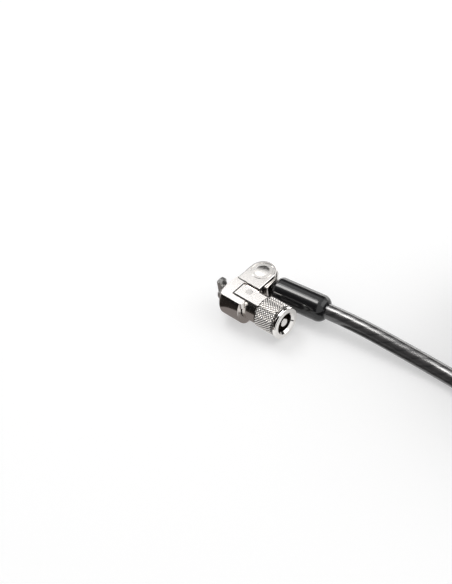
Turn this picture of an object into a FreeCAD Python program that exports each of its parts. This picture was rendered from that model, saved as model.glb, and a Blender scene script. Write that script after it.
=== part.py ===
import FreeCAD, Part
import math
import os
from FreeCAD import Vector as V

# Laptop cable lock: a keyed barrel with a T-bar nose, a hinged cable eye, and a sheathed steel cable.
# Lengths are in millimetres. The pieces are drawn with X along the barrel, away from the slot, the
# barrel's axis at y = 0 and z = 0, and X = 0 at the left edge of the ears. place_all() then puts the
# origin on the surface that the lock lies on, under the middle of its box.

# Bracket: a collar round the barrel, and two ears beside it
collar_radius = 6.0
collar_end = 7.1  # the X of the collar's open end
nose_face = -0.7  # the X of the flat face that meets the slot's wall
nose_shoulder = 0.5  # the X where the rounded nose meets the collar's side
nose_flat_radius = 3.5
nose_bulge = 0.3  # how far the nose's rounding stands out of a straight slope
plate_height = 3.9  # the collar's flat top, above the barrel's axis
notch_half_width = 2.75
notch_start = 2.7
notch_corner = 0.5
ear_width = 8.0
ear_near_edge = 2.9
ear_top = 4.2
ear_thickness = 1.4
ear_edge_round = 0.3
pivot_offset = 8.7  # from the barrel's axis to the pivot's axis
web_face = 4.65  # the flat wall between the collar and the knuckle
ring_mark_radius = 3.0
ring_mark_width = 0.25
ring_mark_depth = 0.12
arm_end = 7.9  # the X of the near arm's rounded end, beside the barrel's flat
arm_end_round = 0.9
arm_foot = 2.0

# Barrel
barrel_radius = 4.2
barrel_bore = 3.35
barrel_flat = 3.7  # the height of the milled flat above the axis
grip_start = 11.6
grip_end = 18.2
grip_wall = 0.55
grip_seat_radius = 4.0
grip_chamfer = 0.35
bezel_start = 18.7
bezel_end = 19.7
bezel_step = 0.18  # the ring stands this far out of the grip
bezel_seat = 0.35
bezel_mouth_radius = 3.35
bezel_round = 0.3
keyway_radius = 2.8

# Lock core
post_radius = 1.3
post_recess = 0.55
post_tip_round = 0.25
shear_plane = 12.9
rotor_length = 3.0
pin_circle = 2.1
pin_radius = 0.45
pin_count = 7
key_pin_length = 2.45
key_pin_proud = 0.2
key_pin_round = 0.15
driver_length = 1.9
chamber_depth = 4.7
spring_wall = 0.14
stator_length = 8.3
spindle_radius = 1.2
spindle_socket = 1.6
clip_radius = 2.2
clip_thickness = 0.6
clip_groove = 0.25
clip_mouth_top = -0.5  # where the clip's open side ends, below the axis
dot_radius = 0.95
dot_along = 6.24
dot_across = 0.6
dot_depth = 1.6
dot_proud = 0.06
dot_round = 0.05

# Nose: a T-bar that turns behind two fixed posts, for a 7 x 3 mm slot
slot_length = 7.0
slot_height = 3.0
slot_play = 0.3  # between the slot's edge and what goes in it
slot_wall = 2.1  # the thickest wall that the T-bar closes behind
t_bar_gap = 0.3  # between the posts' ends and the T-bar
t_bar_thickness = 1.6
t_bar_cap = 0.7  # the T-bar's wall over the spindle's end
t_bar_round = 0.3
post_gap = 0.35  # between the spindle and each post
nose_plate_radius = 3.2
nose_plate_depth = 1.6
nose_plate_proud = 0.3
nose_plate_round = 0.2
post_root = 1.3

# Hinge at the ears
pivot_radius = 1.5
pivot_head_radius = 2.1
pivot_head_depth = 0.6
pivot_dome = 0.08
knuckle_radius = 3.8
knuckle_length = 4.2  # from the pivot's axis to the knuckle's flat end
knuckle_round = 0.5
knuckle_far_round = 3.0  # the far upright edge of the knuckle's flat end
washer_radius = 3.2
washer_thickness = 0.3

# Boot and what it covers, along its own axis from the pivot
boot_yaw = 5.5  # degrees, from the barrel's direction
boot_start = 4.6
boot_length = 17.3
boot_width = 7.4
boot_corner = 3.2
boot_front_round = 1.4
boot_end_round = 2.8
boot_wall_front = 0.6
sleeve_radius = 2.95
sleeve_start = 5.3
sleeve_length = 10.9
sleeve_front_wall = 1.7
sleeve_cavity = 1.8
sleeve_back_wall = 0.5
stem_radius = 1.6
stem_root = 2.5  # from the pivot's axis to the stem's inner end
stem_flange_radius = 2.25
stem_flange_thickness = 1.2
stem_washer_thickness = 0.25
core_radius = 1.9

# Cable
cable_diameter = 4.5
coil_pitch = 4.95  # from turn to turn, across and up
coil_inner = 18.5  # the tightest turn's radius
coil_turns = 2.5  # from the innermost to the outermost turn, in each layer
coil_layers = 4
coil_top_turns = 1.0  # on top of the layers, up to the ferrule
coil_climb = 0.5  # turns, over which the coil climbs to its next layer
coil_start_angle = -97.0
coil_lift = 0.9  # the coil lies on its tie
coil_centre = (88.6, 41.8)
tie_width = 12.0
tie_thickness = 0.8
tie_angle = 75.0
tie_gap = 0.1
ferrule_length = 12.0
ferrule_half_height = 2.6
ferrule_half_width = 5.3
loop_bend = 26.0  # the loop lies along the coil's top turn
loop_spread = 28.0  # degrees, between each leg and the loop's middle line
loop_shoulder = 18.0  # the bend's radius where the legs part
loop_round = 11.5  # the round end's radius
tie_corner = 1.5  # the slope on the tie's outer top edge
tie_level = 5.85  # the tie's top is level as far in as this, over the last turn
strand_gap = 0.2

# Running and seating clearances
seat_gap = 0.05
run_gap = 0.1
tight_gap = 0.02

# Values that follow from the sizes above
cable_radius = cable_diameter / 2
floor_height = -collar_radius  # the lock lies on its collar and its lower ear
ear_under = ear_top - ear_thickness
lower_ear_top = floor_height + ear_thickness + run_gap
ear_middle = ear_width / 2
knuckle_top = ear_under - 1.5 * run_gap
knuckle_bottom = lower_ear_top + washer_thickness + run_gap
boot_height = (knuckle_top + knuckle_bottom) / 2
barrel_start = notch_start + seat_gap
grip_radius = grip_seat_radius + seat_gap + grip_wall
bezel_radius = grip_radius + bezel_step
bezel_inner = bezel_start + bezel_seat
rotor_back = shear_plane + seat_gap
rotor_front = rotor_back + rotor_length
stator_start = shear_plane - stator_length
spindle_bore = spindle_radius + seat_gap
wing_reach = slot_length / 2 - slot_play
wing_half_height = slot_height / 2 - slot_play
post_tip = nose_face - slot_wall
t_bar_inner = post_tip - t_bar_gap
t_bar_outer = t_bar_inner - t_bar_thickness
boot_end = boot_start + boot_length
sleeve_end = sleeve_start + sleeve_length
cavity_start = sleeve_start + sleeve_front_wall
cavity_end = cavity_start + sleeve_cavity
coil_outer = coil_inner + coil_turns * coil_pitch
coil_end = coil_layers * coil_turns + coil_top_turns
coil_climbs = [n * coil_turns for n in range(1, coil_layers + 1)] + [coil_end - coil_climb / 2]

# The free cable's route from the boot to the coil, chosen by hand, in the frame of the pieces
cable_points = [
    (25.799, 10.799, -0.725),
    (34.36, 11.623, -0.725),
    (47.5, 12.45, -1.95),
    (60.5, 13.2, -3.45),
    (71.4, 12.458, -2.85),
    (80.358, 11.589, -2.85),
]

pieces = {}


def cylinder(radius, start, end, centre=(0, 0)):
    """A solid cylinder along X."""
    return Part.makeCylinder(radius, end - start, V(start, centre[0], centre[1]), V(1, 0, 0))


def upright(radius, bottom, top, centre=(0, 0)):
    """A solid cylinder along Z."""
    return Part.makeCylinder(radius, top - bottom, V(centre[0], centre[1], bottom), V(0, 0, 1))


def cone(radius_low, radius_high, bottom, top, centre):
    """A solid cone along Z."""
    return Part.makeCone(radius_low, radius_high, top - bottom, V(centre[0], centre[1], bottom), V(0, 0, 1))


def block(x0, x1, y0, y1, z0, z1):
    return Part.makeBox(x1 - x0, y1 - y0, z1 - z0, V(x0, y0, z0))


def turned(outline):
    """A solid turned about the X axis from (x, radius) points; a point may be an arc's (through, end) pair."""
    edges = []
    here = V(outline[0][0], 0, outline[0][1])
    first = here
    for point in outline[1:]:
        if isinstance(point[0], tuple):
            through = V(point[0][0], 0, point[0][1])
            there = V(point[1][0], 0, point[1][1])
            edges.append(Part.Arc(here, through, there).toShape())
        else:
            there = V(point[0], 0, point[1])
            edges.append(Part.makeLine(here, there))
        here = there
    edges.append(Part.makeLine(here, first))
    return Part.Face(Part.Wire(edges)).revolve(V(0, 0, 0), V(1, 0, 0), 360)


def ear_outline(bottom, top, near_edge):
    """One ear: a flat tongue with a round end about the pivot."""
    tongue = block(0, ear_width, near_edge, pivot_offset, bottom, top)
    return tongue.fuse(upright(ear_middle, bottom, top, (ear_middle, pivot_offset))).removeSplitter()


def edges_at_height(shape, height, past_y=-1e9):
    """The edges that lie flat at one height and reach past a line across."""
    return [
        e for e in shape.Edges
        if abs(e.BoundBox.ZMin - height) < 1e-5 and abs(e.BoundBox.ZMax - height) < 1e-5
        and e.BoundBox.YMax > past_y
    ]


def lock_bracket():
    """The cast collar and its two ears."""
    middle_x = (nose_shoulder + nose_face) / 2 - nose_bulge
    middle_r = (collar_radius + nose_flat_radius) / 2 + nose_bulge
    collar = turned([
        (nose_face, 0),
        (nose_face, nose_flat_radius),
        ((middle_x, middle_r), (nose_shoulder, collar_radius)),
        (collar_end, collar_radius),
        (collar_end, 0),
    ])
    collar = collar.cut(block(-20, 40, -20, 20, plate_height, 20))
    web = block(0, collar_end, 0, web_face, floor_height, plate_height)
    top = ear_outline(ear_under, ear_top, ear_near_edge)
    top = top.makeFillet(ear_edge_round, edges_at_height(top, ear_top, ear_near_edge + 0.01))
    low = ear_outline(floor_height, floor_height + ear_thickness, 0)
    body = collar.cut(block(-5, 40, web_face, 20, floor_height - 1, 20))
    side = collar.common(block(-5, collar_end, web_face, 20, ear_under, 20))
    arm_middle = -(notch_half_width + math.sqrt(collar_radius ** 2 - plate_height ** 2)) / 2
    arm = upright(arm_end_round, arm_foot, plate_height, (arm_end - arm_end_round, arm_middle))
    body = body.fuse([web, top, low, side, arm]).removeSplitter()
    pocket = block(-5, 40, web_face, 40, floor_height + ear_thickness, ear_under)
    bore = cylinder(barrel_radius + seat_gap, notch_start, collar_end + 2)
    notch = block(notch_start, collar_end + 2, -notch_half_width, ear_near_edge, 0, plate_height + 1)
    corners = [
        e for e in notch.Edges
        if abs(e.BoundBox.XMax - notch_start) < 1e-6 and e.BoundBox.ZLength > 1
    ]
    notch = notch.makeFillet(notch_corner, corners)
    recess = cylinder(nose_plate_radius + seat_gap, nose_face - 1, nose_face - nose_plate_proud + nose_plate_depth)
    passage = cylinder(spindle_bore, nose_face, notch_start + 1)
    pin_way = upright(pivot_radius + seat_gap, floor_height - 1, ear_top + 1, (ear_middle, pivot_offset))
    sink = cone(
        pivot_radius + seat_gap, pivot_head_radius + seat_gap,
        ear_top - pivot_head_depth, ear_top, (ear_middle, pivot_offset),
    )
    low_sink = cone(
        pivot_head_radius + seat_gap, pivot_radius + seat_gap,
        floor_height, floor_height + pivot_head_depth, (ear_middle, pivot_offset),
    )
    mark = upright(ring_mark_radius + ring_mark_width, ear_top - ring_mark_depth, ear_top + 1, (ear_middle, pivot_offset))
    mark = mark.cut(upright(ring_mark_radius, ear_top - 1, ear_top + 2, (ear_middle, pivot_offset)))
    return body.cut([pocket, bore, notch, recess, passage, pin_way, sink, low_sink, mark])


def barrel_shell():
    """The tube that holds the lock core, with the milled flat on top."""
    tube = turned([
        (barrel_start, barrel_bore),
        (barrel_start, barrel_radius),
        (grip_start, barrel_radius),
        (grip_start, grip_seat_radius),
        (bezel_inner - seat_gap, grip_seat_radius),
        (bezel_inner - seat_gap, barrel_bore),
    ])
    tube = tube.cut(block(0, grip_start, -10, 10, barrel_flat, 20))
    way = upright(dot_radius + seat_gap, 0, 20, (dot_along, dot_across))
    return tube.cut(way.cut(block(-5, 40, -20, 20, -20, 1)))


def knurled_sleeve():
    """The grip round the barrel's key end."""
    inner = grip_seat_radius + seat_gap
    return turned([
        (grip_start + seat_gap, inner),
        (grip_start + seat_gap, grip_radius - grip_chamfer),
        (grip_start + seat_gap + grip_chamfer, grip_radius),
        (grip_end - grip_chamfer, grip_radius),
        (grip_end, grip_radius - grip_chamfer),
        (grip_end, inner),
    ])


def bezel_ring():
    """The polished ring at the key end."""
    inner = grip_seat_radius + seat_gap
    rounded = bezel_radius - bezel_round
    lean = bezel_round * (1 - math.sqrt(0.5))
    return turned([
        (bezel_start, inner),
        (bezel_start, rounded),
        ((bezel_start + lean, bezel_radius - lean), (bezel_start + bezel_round, bezel_radius)),
        (bezel_end - bezel_round, bezel_radius),
        ((bezel_end - lean, bezel_radius - lean), (bezel_end, rounded)),
        (bezel_end, bezel_mouth_radius),
        (bezel_inner + seat_gap, keyway_radius),
        (bezel_inner, keyway_radius),
        (bezel_inner, inner),
    ])


def pin_places():
    """The pins' places on their circle, as (y, z)."""
    return [
        (pin_circle * math.sin(2 * math.pi * k / pin_count), pin_circle * math.cos(2 * math.pi * k / pin_count))
        for k in range(pin_count)
    ]


def keyway_liner():
    outer = cylinder(barrel_bore - seat_gap, rotor_front + seat_gap, bezel_inner - seat_gap)
    return outer.cut(cylinder(keyway_radius, rotor_front - 1, bezel_inner + 1))


def pin_stator():
    """The fixed half of the pin lock."""
    body = cylinder(barrel_bore - seat_gap, stator_start, shear_plane)
    cuts = [cylinder(spindle_bore, stator_start - 1, shear_plane + 1)]
    cuts += [
        cylinder(pin_radius + seat_gap, shear_plane - chamber_depth, shear_plane + 1, place)
        for place in pin_places()
    ]
    dot_bottom = barrel_flat - dot_depth
    cuts.append(upright(dot_radius + seat_gap, dot_bottom - seat_gap, 20, (dot_along, dot_across)))
    return body.cut(cuts)


def driver_pins():
    end = shear_plane - tight_gap
    return Part.makeCompound([cylinder(pin_radius, end - driver_length, end, place) for place in pin_places()])


def pin_springs():
    """The springs behind the drivers, each as a thin sleeve of its coils' outline."""
    start = shear_plane - chamber_depth + tight_gap
    end = shear_plane - driver_length - seat_gap
    outer = pin_radius - tight_gap
    return Part.makeCompound([
        cylinder(outer, start, end, place).cut(cylinder(outer - spring_wall, start - 1, end + 1, place))
        for place in pin_places()
    ])


def key_rotor():
    """The turning half of the pin lock, with the post that the key goes over."""
    disc = cylinder(barrel_bore - run_gap, rotor_back, rotor_front)
    post = cylinder(post_radius, rotor_front, bezel_end - post_recess)
    tip = [e for e in post.Edges if abs(e.BoundBox.XMin - (bezel_end - post_recess)) < 1e-6]
    post = post.makeFillet(post_tip_round, tip)
    body = disc.fuse(post).removeSplitter()
    cuts = [cylinder(pin_radius + seat_gap, rotor_back - 1, rotor_front + 1, place) for place in pin_places()]
    cuts.append(cylinder(spindle_bore, rotor_back - 1, rotor_back + spindle_socket + seat_gap))
    return body.cut(cuts)


def key_pins():
    """The pins that the key pushes in."""
    end = rotor_front + key_pin_proud
    shapes = []
    for place in pin_places():
        pin = cylinder(pin_radius, end - key_pin_length, end, place)
        tip = [e for e in pin.Edges if abs(e.BoundBox.XMin - end) < 1e-6]
        shapes.append(pin.makeFillet(key_pin_round, tip))
    return Part.makeCompound(shapes)


def spindle():
    """The shaft from the rotor to the T-bar, with the clip's groove."""
    end = rotor_back + spindle_socket
    start = t_bar_outer + t_bar_cap
    shaft = cylinder(spindle_radius, start, end)
    groove_start = notch_start + 2 * seat_gap
    groove = cylinder(spindle_radius + 1, groove_start, groove_start + clip_thickness + 2 * seat_gap)
    return shaft.cut(groove.cut(cylinder(spindle_radius - clip_groove, groove_start - 1, groove_start + 3)))


def spindle_clip():
    """The retaining ring in the spindle's groove, open on one side."""
    start = notch_start + 3 * seat_gap
    ring = cylinder(clip_radius, start, start + clip_thickness)
    ring = ring.cut(cylinder(spindle_radius - clip_groove + seat_gap, start - 1, start + 2))
    mouth = spindle_radius - clip_groove
    return ring.cut(block(start - 1, start + 2, -mouth, mouth, -clip_radius - 1, clip_mouth_top))


def t_bar():
    """The cross-piece that closes behind the slot; its long side is upright when locked."""
    bar = block(t_bar_outer, t_bar_inner, -wing_half_height, wing_half_height, -wing_reach, wing_reach)
    bar = bar.common(cylinder(wing_reach, t_bar_outer, t_bar_inner))
    ends = [e for e in bar.Edges if abs(e.BoundBox.XMax - t_bar_outer) < 1e-6]
    bar = bar.makeFillet(t_bar_round, ends)
    return bar.cut(cylinder(spindle_radius + seat_gap / 2, t_bar_outer + t_bar_cap - seat_gap / 2, t_bar_inner + 1))


def guide_post(side):
    """One fixed post that fills the slot's end beside the spindle."""
    low = spindle_radius + post_gap
    post = block(post_tip, nose_face + post_root, low, wing_reach, -wing_half_height, wing_half_height)
    post = post.common(cylinder(wing_reach, post_tip, nose_face + post_root))
    if side < 0:
        post = post.mirror(V(0, 0, 0), V(0, 1, 0))
    return post


def guide_posts():
    return Part.makeCompound([guide_post(1), guide_post(-1)])


def nose_plate():
    """The plate in the collar's nose that carries the posts."""
    start = nose_face - nose_plate_proud
    plate = cylinder(nose_plate_radius, start, start + nose_plate_depth - seat_gap)
    rim = [e for e in plate.Edges if abs(e.BoundBox.XMax - start) < 1e-6]
    plate = plate.makeFillet(nose_plate_round, rim)
    low = spindle_radius + post_gap - seat_gap / 2
    high = wing_half_height + seat_gap / 2
    socket_end = nose_face + post_root + seat_gap / 2
    socket = block(start - 1, socket_end, low, wing_reach, -high, high)
    socket = socket.common(cylinder(wing_reach + seat_gap / 2, start - 2, socket_end + 1))
    other = socket.mirror(V(0, 0, 0), V(0, 1, 0))
    return plate.cut([cylinder(spindle_bore, start - 1, start + 5), socket, other])


def stator_pin():
    """The round pin through the flat that fixes the stator."""
    top = barrel_flat + dot_proud
    pin = upright(dot_radius, barrel_flat - dot_depth, top, (dot_along, dot_across))
    return pin.makeFillet(dot_round, edges_at_height(pin, top))


def pivot_pin():
    """The rivet through the ears and the knuckle."""
    centre = (ear_middle, pivot_offset)
    shaft = upright(pivot_radius, floor_height + seat_gap, ear_top, centre)
    head = cone(pivot_radius, pivot_head_radius, ear_top - pivot_head_depth, ear_top, centre)
    foot = cone(pivot_head_radius, pivot_radius, floor_height + seat_gap, floor_height + pivot_head_depth, centre)
    ball_radius = (pivot_head_radius ** 2 + pivot_dome ** 2) / (2 * pivot_dome)
    ball = Part.makeSphere(ball_radius, V(centre[0], centre[1], ear_top + pivot_dome - ball_radius))
    dome = ball.common(upright(pivot_head_radius, ear_top, ear_top + 1, centre))
    return shaft.fuse([head, foot, dome]).removeSplitter()


def pivot_washer():
    """The thin washer between the knuckle and the lower ear."""
    bottom = lower_ear_top - run_gap / 2
    centre = (ear_middle, pivot_offset)
    ring = upright(washer_radius, bottom, bottom + washer_thickness, centre)
    return ring.cut(upright(pivot_radius + seat_gap, bottom - 1, bottom + 2, centre))


def on_boot_axis(shape):
    """Moves a piece drawn along X from the pivot to the boot's own axis."""
    shape = shape.copy()
    shape.rotate(V(0, 0, 0), V(0, 0, 1), boot_yaw)
    shape.translate(V(ear_middle, pivot_offset, boot_height))
    return shape


def cable_eye():
    """The knuckle between the ears, with a flat end towards the boot."""
    low = knuckle_bottom - boot_height
    high = knuckle_top - boot_height
    slab = block(0, knuckle_length, -knuckle_radius, knuckle_radius, low, high)
    far = [e for e in slab.Edges if e.BoundBox.ZLength > 1 and e.BoundBox.XMin > 1 and e.BoundBox.YMin > 1]
    slab = slab.makeFillet(knuckle_far_round, far)
    near = [e for e in slab.Edges if e.BoundBox.ZLength > 1 and e.BoundBox.XMin > 1 and e.BoundBox.YMax < -1]
    slab = slab.makeFillet(knuckle_round, near)
    body = slab.fuse(upright(knuckle_radius, low, high)).removeSplitter()
    body = body.cut(upright(pivot_radius + run_gap, low - 1, high + 1))
    return body.cut(cylinder(stem_radius + seat_gap, stem_root - seat_gap, knuckle_length + 1))


def swivel_stem():
    """The flanged stem that lets the knuckle turn in the sleeve."""
    flange_start = cavity_start + stem_washer_thickness + 2 * seat_gap
    return turned([
        (stem_root, 0),
        (stem_root, stem_radius),
        (flange_start, stem_radius),
        (flange_start, stem_flange_radius),
        (flange_start + stem_flange_thickness, stem_flange_radius),
        (flange_start + stem_flange_thickness, 0),
    ])


def stem_washer():
    start = cavity_start + seat_gap
    ring = cylinder(stem_flange_radius, start, start + stem_washer_thickness)
    return ring.cut(cylinder(stem_radius + run_gap, start - 1, start + 1))


def crimp_sleeve():
    """The steel sleeve that holds the stem's flange and grips the cable."""
    body = cylinder(sleeve_radius, sleeve_start, sleeve_end)
    return body.cut([
        cylinder(stem_radius + run_gap, sleeve_start - 1, cavity_start + 0.1),
        cylinder(stem_flange_radius + run_gap, cavity_start, cavity_end),
        cylinder(core_radius + seat_gap, cavity_end + sleeve_back_wall, sleeve_end + 1),
    ])


def cable_core():
    """The cable inside the boot: its steel core in the sleeve, then its sheath."""
    core = cylinder(core_radius, cavity_end + sleeve_back_wall + seat_gap, sleeve_end + seat_gap)
    sheath = cylinder(cable_radius, sleeve_end + seat_gap, boot_end)
    return core.fuse(sheath).removeSplitter()


def cable_boot():
    """The moulded cover over the sleeve, a rounded square in section."""
    half = boot_width / 2
    body = block(boot_start, boot_end, -half, half, -half, half)
    along = [e for e in body.Edges if e.BoundBox.XLength > boot_length / 2]
    body = body.makeFillet(boot_corner, along)
    for end, round in ((boot_start, boot_front_round), (boot_end, boot_end_round)):
        rim = [e for e in body.Edges if abs(e.BoundBox.XMin - end) < 1e-6 and abs(e.BoundBox.XMax - end) < 1e-6]
        body = body.makeFillet(round, rim)
    return body.cut([
        cylinder(stem_radius + 2 * run_gap, boot_start - 1, boot_start + boot_wall_front + 0.1),
        cylinder(sleeve_radius + seat_gap, boot_start + boot_wall_front, sleeve_end + seat_gap),
        cylinder(cable_radius + seat_gap / 2, sleeve_end, boot_end + 1),
    ])


def free_tube(points, radius, name):
    """A tube along straight runs joined by tangent arcs, each as large as its two runs allow."""
    corners = [V(*p) for p in points]
    edges = []
    here = corners[0]
    radii = []
    for before, corner, after in zip(corners, corners[1:], corners[2:]):
        into = (corner - before).normalize()
        out = (after - corner).normalize()
        turn = into.getAngle(out)
        reach = 0.45 * min((corner - before).Length, (after - corner).Length)
        radii.append(reach / math.tan(turn / 2))
        start = corner - into * reach
        end = corner + out * reach
        middle = (start + end) * 0.5
        sag = radii[-1] * (1 - math.cos(turn / 2))
        middle = middle + (corner - middle).normalize() * sag
        edges.append(Part.LineSegment(here, start).toShape())
        edges.append(Part.Arc(start, middle, end).toShape())
        here = end
    edges.append(Part.LineSegment(here, corners[-1]).toShape())
    path = Part.Wire(edges)
    tube = tube_on(path, radius)
    share = tube.Volume / (math.pi * radius ** 2 * path.Length)
    print(name, "radii", [round(r, 1) for r in radii], "length", round(path.Length, 1), "volume share", round(share, 4))
    return tube, path.Length


def tube_on(path, radius):
    """A round solid along a smooth path."""
    start = path.OrderedVertexes[0].Point
    first = path.OrderedEdges[0]
    low = first.tangentAt(first.FirstParameter)
    if (first.valueAt(first.FirstParameter) - start).Length > 1e-6:
        low = first.tangentAt(first.LastParameter) * -1
    section = Part.Wire(Part.makeCircle(radius, start, low))
    shell = Part.BRepOffsetAPI.MakePipeShell(path)
    shell.add(section)
    shell.build()
    shell.makeSolid()
    return Part.Solid(shell.shape())


def arc_middle(start, control, end):
    """The middle of the arc that touches both legs of an even corner."""
    weight = (end - start).Length / 2 / (control - start).Length
    return (start + end + control * (2 * weight)) * (1 / (2 + 2 * weight))


def biarc(start, start_way, end, end_way):
    """Two arcs that join two points along the given directions."""
    gap = end - start
    total = start_way + end_way
    a = 2 * (1 - start_way.dot(end_way))
    b = 2 * gap.dot(total)
    c = -gap.dot(gap)
    leg = -c / b if abs(a) < 1e-9 else (-b + math.sqrt(b * b - 4 * a * c)) / (2 * a)
    first = start + start_way * leg
    second = end - end_way * leg
    joint = (first + second) * 0.5
    return [
        Part.Arc(start, arc_middle(start, first, joint), joint).toShape(),
        Part.Arc(joint, arc_middle(joint, second, end), end).toShape(),
    ]


def coil_state(turn):
    """The coil's radius and height and their slopes, at a number of turns from its start."""
    leg = int(turn / coil_turns + 1e-9)
    along = turn - leg * coil_turns
    inward = leg % 2 == 0
    radius = coil_outer - coil_pitch * along if inward else coil_inner + coil_pitch * along
    slope = -coil_pitch if inward else coil_pitch
    level = 0
    rise = 0.0
    for number, middle in enumerate(coil_climbs):
        part = (turn - middle) / coil_climb + 0.5
        if part > 1 - 1e-9:
            level = number + 1
        elif part > 1e-9:
            level = number + part
            rise = 1.5 * coil_pitch / coil_climb
            if number < coil_layers:
                slope = 0.0
    return radius, floor_height + coil_lift + cable_radius + level * coil_pitch, slope, rise


def coil_point(turn):
    """A point of the coil's line and its direction."""
    radius, height, slope, rise = coil_state(turn)
    angle = math.radians(coil_start_angle) + 2 * math.pi * turn
    out = V(math.cos(angle), math.sin(angle), 0)
    on = V(-math.sin(angle), math.cos(angle), 0)
    place = V(coil_centre[0], coil_centre[1], height) + out * radius
    way = on * (2 * math.pi * radius) + out * slope + V(0, 0, rise)
    return place, way.normalize()


def coil_path():
    """The coil's line: a short straight end, quarter-turn biarcs, and a short straight end."""
    steps = round(4 * coil_end)
    stations = [coil_point(k / 4) for k in range(steps + 1)]
    place, way = stations[0]
    edges = [Part.LineSegment(place - way * cable_diameter, place).toShape()]
    for (a, a_way), (b, b_way) in zip(stations, stations[1:]):
        edges += biarc(a, a_way, b, b_way)
    place, way = stations[-1]
    edges.append(Part.LineSegment(place, place + way * cable_diameter).toShape())
    return Part.Wire(edges), stations[0], stations[-1]


def least_gap(path, diameter):
    """The least gap between a wound line's surfaces, from points along it."""
    points = path.discretize(Distance=diameter / 3)
    step = path.Length / (len(points) - 1)
    skip = int(3 * diameter / step)
    cells = {}
    size = diameter * 1.5
    for index, p in enumerate(points):
        cells.setdefault((int(p.x // size), int(p.y // size), int(p.z // size)), []).append(index)
    least = 1e9
    for (i, j, k), members in cells.items():
        near = [
            m for di in (-1, 0, 1) for dj in (-1, 0, 1) for dk in (-1, 0, 1)
            for m in cells.get((i + di, j + dj, k + dk), ())
        ]
        for a in members:
            for b in near:
                if b - a > skip:
                    least = min(least, (points[a] - points[b]).Length)
    return least - diameter


def loop_stations():
    """The end loop's line, as places and directions, bent to lie along the coil's top turn."""
    strand = cable_radius + strand_gap / 2
    s = math.sin(math.radians(loop_spread))
    c = math.cos(math.radians(loop_spread))
    x1 = loop_shoulder * s
    y1 = strand + loop_shoulder * (1 - c)
    straight = (loop_round * c - y1) / s
    x2 = x1 + straight * c
    y2 = y1 + straight * s
    x3 = x2 + loop_round * s
    half = loop_round * math.sqrt(0.5)
    flat = [
        (0, strand, 0), (x1, y1, loop_spread), ((x1 + x2) / 2, (y1 + y2) / 2, loop_spread),
        (x2, y2, loop_spread), (x3, loop_round, 0), (x3 + half, half, -45), (x3 + loop_round, 0, -90),
    ]
    flat += [(x, -y, 180 - heading) for x, y, heading in reversed(flat[:-1])]
    stations = []
    for x, y, heading in flat:
        bend = x / loop_bend
        place = V((loop_bend - y) * math.sin(bend), loop_bend - (loop_bend - y) * math.cos(bend), 0)
        along = V(math.cos(bend), math.sin(bend), 0) * ((loop_bend - y) / loop_bend)
        across = V(-math.sin(bend), math.cos(bend), 0)
        turn = math.radians(heading)
        way = along * math.cos(turn) + across * math.sin(turn)
        stations.append((place, way.normalize()))
    return stations


def at_coil_end(shape, end):
    """Moves a piece drawn along X to the coil's straight end."""
    place, way = end
    shape = shape.copy()
    shape.rotate(V(0, 0, 0), V(0, 0, 1), math.degrees(math.atan2(way.y, way.x)))
    shape.translate(place + way * cable_diameter)
    return shape


def loop_ferrule(end):
    """The sleeve where the cable's end is swaged back on itself."""
    wires = []
    for along, wide in ((0, ferrule_half_height), (0.35 * ferrule_length, ferrule_half_width),
                        (ferrule_length, ferrule_half_width)):
        oval = Part.Ellipse(V(0, 0, 0), wide + 1e-4, ferrule_half_height).toShape()
        wire = Part.Wire(oval)
        wire.rotate(V(0, 0, 0), V(1, 0, 0), 90)
        wire.rotate(V(0, 0, 0), V(0, 0, 1), 90)
        wire.translate(V(along, 0, 0))
        wires.append(wire)
    return at_coil_end(Part.makeLoft(wires, True, True), end)


def cable_loop(end):
    """The end loop, swaged in the ferrule at both ends."""
    edges = []
    stations = loop_stations()
    for (a, a_way), (b, b_way) in zip(stations, stations[1:]):
        edges += biarc(a, a_way, b, b_way)
    tube = tube_on(Part.Wire(edges), cable_radius)
    tube.translate(V(ferrule_length, 0, 0))
    return at_coil_end(tube, end)


def cable_tie():
    """The strap round the coil, as a band in the plane across its turns."""
    inner = math.sqrt((coil_inner - cable_radius) ** 2 - (tie_width / 2) ** 2) - tie_gap
    outer = coil_outer + cable_radius + tie_gap
    bottom = floor_height + tie_thickness
    top = floor_height + coil_lift + coil_layers * coil_pitch
    over = top + cable_diameter + 2 * tie_gap
    outline = [
        (inner, bottom), (outer, bottom), (outer, top), (outer - tie_corner, over),
        (outer - tie_level, over), (inner, top),
    ]
    corners = [V(x, 0, z) for x, z in outline]
    wire = Part.makePolygon(corners + corners[:1])
    hole = Part.Face(wire)
    band = hole.makeOffset2D(tie_thickness - tie_gap / 2)
    ring = band.cut(hole).extrude(V(0, tie_width, 0))
    ring.translate(V(0, -tie_width / 2, 0))
    ring.rotate(V(0, 0, 0), V(0, 0, 1), tie_angle)
    ring.translate(V(coil_centre[0], coil_centre[1], 0))
    return ring


def make_pieces():
    """Draws every piece under its name."""
    for maker in (
        lock_bracket, barrel_shell, knurled_sleeve, bezel_ring, keyway_liner, pin_stator, driver_pins,
        pin_springs, stator_pin, nose_plate, guide_posts, pivot_pin, pivot_washer, key_rotor, key_pins,
        spindle, spindle_clip, t_bar,
    ):
        pieces[maker.__name__] = maker()
    for maker in (cable_eye, swivel_stem, stem_washer, crimp_sleeve, cable_core, cable_boot):
        pieces[maker.__name__] = on_boot_axis(maker())
    tube, free_length = free_tube(cable_points, cable_radius, "cable")
    pieces["cable"] = tube
    path, start, end = coil_path()
    pieces["cable_coil"] = tube_on(path, cable_radius)
    share = pieces["cable_coil"].Volume / (math.pi * cable_radius ** 2 * path.Length)
    print("coil length", round(path.Length, 1), "volume share", round(share, 4),
          "least gap", round(least_gap(path, cable_diameter), 3))
    print("coil starts at", start[0] - start[1] * cable_diameter, "heading", start[1])
    print("whole cord", round(free_length + path.Length, 1))
    pieces["loop_ferrule"] = loop_ferrule(end)
    pieces["cable_loop"] = cable_loop(end)
    pieces["cable_tie"] = cable_tie()


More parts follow.
